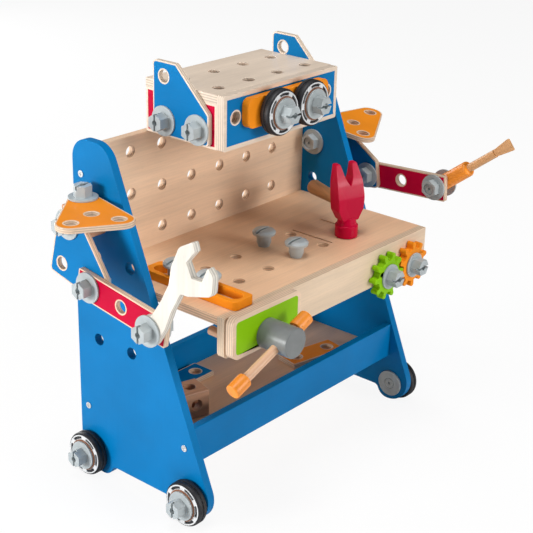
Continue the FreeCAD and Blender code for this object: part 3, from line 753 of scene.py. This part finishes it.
@dataclass
class Studio:
    """Pale floor, soft lights and the camera."""

    target: Vector = field(default_factory=lambda: Vector((-0.01103, -0.01097, 0.23534)))
    eye: Vector = field(default_factory=lambda: Vector((-1.01271, -0.82604, 0.76395)))
    roll: float = math.radians(1.717)
    lens: float = 87.62
    shift: tuple[float, float] = (-0.0428, -0.0172)
    ambient: float = 0.16
    floor_glow: float = 0.90
    lamps: tuple[tuple[str, Colour, float, float], ...] = (
        ("key", (-2.4, 0.9, 0.65), 0.8, 56.0),
        ("front", (0.7, -2.6, 1.0), 1.0, 40.0),
        ("top", (-0.4, -0.1, 2.5), 0.9, 30.0),
        ("back", (0.5, 2.4, 0.7), 1.0, 26.0))

    def camera(self) -> None:
        """Create the camera with its slight roll and shift."""
        data = bpy.data.cameras.new("camera")
        data.lens = self.lens
        data.sensor_width = 36.0
        data.shift_x, data.shift_y = self.shift
        data.clip_end = 20.0
        ahead = (self.target - self.eye).normalized()
        right = ahead.cross(Vector(Axis.Z.value)).normalized()
        up = right.cross(ahead)
        leaned = right * math.cos(self.roll) + up * math.sin(self.roll)
        top = up * math.cos(self.roll) - right * math.sin(self.roll)
        turn = Matrix((leaned, top, -ahead)).transposed()
        made = bpy.data.objects.new("camera", data)
        made.matrix_world = Matrix.Translation(self.eye) @ turn.to_4x4()
        bpy.context.scene.collection.objects.link(made)
        bpy.context.scene.camera = made

    def light(self, name: str, place: Colour, size: float, power: float) -> None:
        """Add one soft square light aimed at the toy."""
        data = bpy.data.lights.new(name, "AREA")
        data.size = size
        data.energy = power
        made = bpy.data.objects.new(name, data)
        made.location = place
        made.rotation_euler = (self.target - Vector(place)).to_track_quat("-Z", "Y").to_euler()
        bpy.context.scene.collection.objects.link(made)

    def floor(self) -> None:
        """Lay the pale floor."""
        mesh = bmesh.new()
        bmesh.ops.create_grid(mesh, x_segments=1, y_segments=1, size=6.0)
        data = bpy.data.meshes.new("floor")
        mesh.to_mesh(data)
        mesh.free()
        shader = Shader("floor_white")
        shader.finish((0.93, 0.93, 0.93), 0.8, gloss=0.1)
        seen = shader.node("ShaderNodeLightPath").outputs["Is Camera Ray"]
        glow = shader.node("ShaderNodeEmission", None, Color=(1.0, 1.0, 1.0, 1.0), Strength=1.0)
        share = shader.math("MULTIPLY", seen, self.floor_glow)
        blend = shader.node("ShaderNodeMixShader", None, index_0=share,
                            index_1=shader.surface.outputs[0], index_2=glow.outputs[0])
        shader.links.new(blend.outputs[0], shader.nodes["Material Output"].inputs["Surface"])
        data.materials.append(shader.material)
        made = bpy.data.objects.new("floor", data)
        bpy.context.scene.collection.objects.link(made)

    def surroundings(self) -> None:
        """Make a dim surround that the camera itself sees as white."""
        world = bpy.data.worlds.new("studio")
        world.use_nodes = True
        nodes, links = world.node_tree.nodes, world.node_tree.links
        dim = nodes["Background"]
        dim.inputs[0].default_value = (1.0, 1.0, 1.0, 1.0)
        dim.inputs[1].default_value = self.ambient
        bright = nodes.new("ShaderNodeBackground")
        bright.inputs[0].default_value = (1.0, 1.0, 1.0, 1.0)
        blend = nodes.new("ShaderNodeMixShader")
        links.new(nodes.new("ShaderNodeLightPath").outputs["Is Camera Ray"], blend.inputs[0])
        links.new(dim.outputs[0], blend.inputs[1])
        links.new(bright.outputs[0], blend.inputs[2])
        links.new(blend.outputs[0], nodes["World Output"].inputs[0])
        bpy.context.scene.world = world

    def build(self) -> None:
        """Set up floor, lights, surroundings and camera."""
        self.floor()
        for name, place, size, power in self.lamps:
            self.light(name, place, size, power)
        self.surroundings()
        bpy.context.scene.view_settings.view_transform = "Standard"
        self.camera()


def main() -> None:
    """Build every sub-assembly in order."""
    logging.basicConfig(level=logging.INFO, format="%(name)s %(message)s")
    wheels = [Wheel(end + "_" + side) for end in ("front", "rear", "eye") for side in ("left", "right")]
    arms = [Arm("left"), Arm("right")]
    for assembly in (Studio(), Panels(), Head(), *wheels, Gears(), Vise(), *arms, Tools(), Loose(),
                     Fasteners()):
        assembly.build()
        LOG.info("built %s", type(assembly).__name__)


if __name__ == "__main__":
    main()
